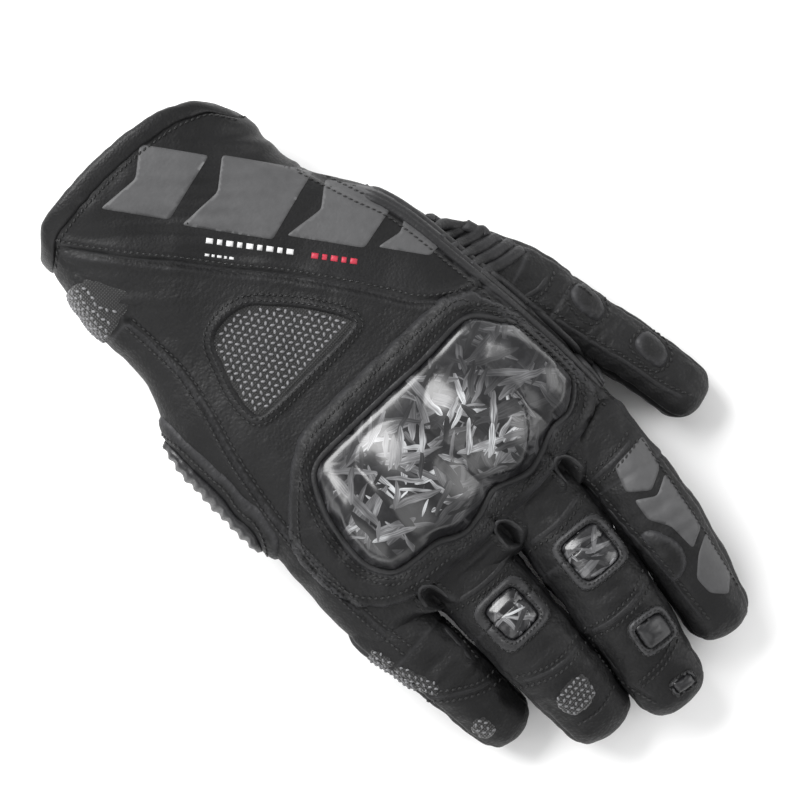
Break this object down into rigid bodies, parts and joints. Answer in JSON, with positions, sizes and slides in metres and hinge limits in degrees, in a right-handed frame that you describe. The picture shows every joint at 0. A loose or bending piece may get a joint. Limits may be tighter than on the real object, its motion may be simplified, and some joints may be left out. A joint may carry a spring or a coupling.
{
  "type": "motorcycle glove",
  "caption": "Short leather riding glove for the right hand with a hard knuckle guard, finger sliders, mesh vents and a wrist strap.",
  "frame": {"origin": "on the flat underside of the palm grip patch, which the glove rests on", "axes": "+Y towards the fingertips, +X towards the little finger, +Z out of the back of the hand"},
  "size_m": [0.1409, 0.2563, 0.056],
  "materials": {
    "leather": "fine-grained black goatskin, semi-matt",
    "cuff_leather": "smooth black leather with printed grey blocks",
    "palm_leather": "matt black palm leather",
    "binding": "folded black leather binding",
    "piping": "rolled leather piping",
    "soft_pad": "padded black leather",
    "guard": "glossy forged-carbon composite with pale shards",
    "slider": "glossy forged-carbon composite",
    "heel_slider": "hard black nylon slider",
    "foam": "black closed-cell foam",
    "lining": "charcoal knitted lining",
    "mesh": "black reinforced mesh with raised grey dots",
    "stretch_rib": "ribbed leather accordion stretch",
    "strap": "black leather strap with stitched edge",
    "hook": "black hook tape",
    "loop": "black loop tape"
  },
  "bodies": {
    "hand": {"cuff_back_panel": "cuff_leather", "cuff_palm_panel": "cuff_leather", "cuff_binding": "binding", "hand_back_panel": "leather", "palm_panel": "palm_leather", "outer_side_panel": "leather", "thumb_side_panel": "leather", "back_lining": "lining", "palm_lining": "lining", "knuckle_guard": "guard", "knuckle_foam": "foam", "knuckle_surround": "leather", "back_mesh_patch": "mesh", "outer_wrist_mesh": "mesh", "outer_hand_slider": "slider", "thumb_side_piping": "piping", "thumb_root_panel": "leather", "thumb_accordion": "stretch_rib", "palm_grip_patch": "palm_leather", "palm_heel_pad": "soft_pad", "palm_heel_slider": "heel_slider", "strap_loop_patch": "loop", "strap_anchor": "strap"},
    "wrist_strap": {"wrist_strap": "strap", "strap_pull_tab": "strap", "strap_hook_patch": "hook"},
    "thumb_base": {"thumb_base_back": "leather", "thumb_base_palm": "palm_leather", "thumb_base_pad": "soft_pad"},
    "thumb_tip": {"thumb_tip_back": "leather", "thumb_tip_palm": "palm_leather", "thumb_tip_pad": "soft_pad"},
    "index_base": {"index_base_back": "leather", "index_base_palm": "palm_leather", "index_base_gussets": "leather"},
    "index_tip": {"index_tip_back": "leather", "index_tip_palm": "palm_leather", "index_knuckle_pad": "soft_pad"},
    "middle_base": {"middle_base_back": "leather", "middle_base_palm": "palm_leather", "middle_base_gussets": "leather", "middle_knuckle_slider": "slider"},
    "middle_tip": {"middle_tip_back": "leather", "middle_tip_palm": "palm_leather", "middle_second_slider": "slider", "middle_tip_slider": "slider"},
    "ring_base": {"ring_base_back": "leather", "ring_base_palm": "palm_leather", "ring_base_gussets": "leather", "ring_knuckle_slider": "slider"},
    "ring_tip": {"ring_tip_back": "leather", "ring_tip_palm": "palm_leather", "ring_tip_mesh": "mesh"},
    "little_base": {"little_base_back": "leather", "little_base_palm": "palm_leather", "little_base_gussets": "leather", "little_side_mesh": "mesh"},
    "little_tip": {"little_tip_back": "leather", "little_tip_palm": "palm_leather", "little_tip_mesh": "mesh"}
  },
  "joints": [
    {"name": "index_base_bend", "type": "hinge", "parent": "hand", "child": "index_base", "pos_m": [-0.0404, 0.05, 0.024], "axis": [-0.9754, 0.2203, 0], "range_deg": [-10, 50]},
    {"name": "index_middle_bend", "type": "hinge", "parent": "index_base", "child": "index_tip", "pos_m": [-0.0334, 0.081, 0.0265], "axis": [-0.9783, 0.2073, 0], "range_deg": [-5, 60]},
    {"name": "middle_base_bend", "type": "hinge", "parent": "hand", "child": "middle_base", "pos_m": [-0.0133, 0.052, 0.024], "axis": [-0.979, 0.204, 0], "range_deg": [-10, 50]},
    {"name": "middle_middle_bend", "type": "hinge", "parent": "middle_base", "child": "middle_tip", "pos_m": [-0.0058, 0.088, 0.0265], "axis": [-0.9792, 0.2029, 0], "range_deg": [-5, 60]},
    {"name": "ring_base_bend", "type": "hinge", "parent": "hand", "child": "ring_base", "pos_m": [0.0183, 0.048, 0.024], "axis": [-0.9966, 0.0824, 0], "range_deg": [-10, 50]},
    {"name": "ring_middle_bend", "type": "hinge", "parent": "ring_base", "child": "ring_tip", "pos_m": [0.0214, 0.0855, 0.026], "axis": [-0.9966, 0.0823, 0], "range_deg": [-5, 60]},
    {"name": "little_base_bend", "type": "hinge", "parent": "hand", "child": "little_base", "pos_m": [0.048, 0.041, 0.023], "axis": [-0.9995, -0.0304, 0], "range_deg": [-10, 50]},
    {"name": "little_middle_bend", "type": "hinge", "parent": "little_base", "child": "little_tip", "pos_m": [0.0473, 0.064, 0.0234], "axis": [-0.9994, -0.0343, 0], "range_deg": [-5, 60]},
    {"name": "thumb_base_bend", "type": "hinge", "parent": "hand", "child": "thumb_base", "pos_m": [-0.058, -0.006, 0.0146], "axis": [-0.9461, -0.3087, -0.0975], "range_deg": [-8, 25]},
    {"name": "thumb_tip_bend", "type": "hinge", "parent": "thumb_base", "child": "thumb_tip", "pos_m": [-0.0644, 0.027, 0.0114], "axis": [-0.973, -0.2079, -0.1003], "range_deg": [-5, 40]},
    {"name": "strap_opening", "type": "hinge", "parent": "hand", "child": "wrist_strap", "pos_m": [0.022, -0.095, 0.0015], "axis": [0, -1, 0], "range_deg": [0, 100]}
  ]
}
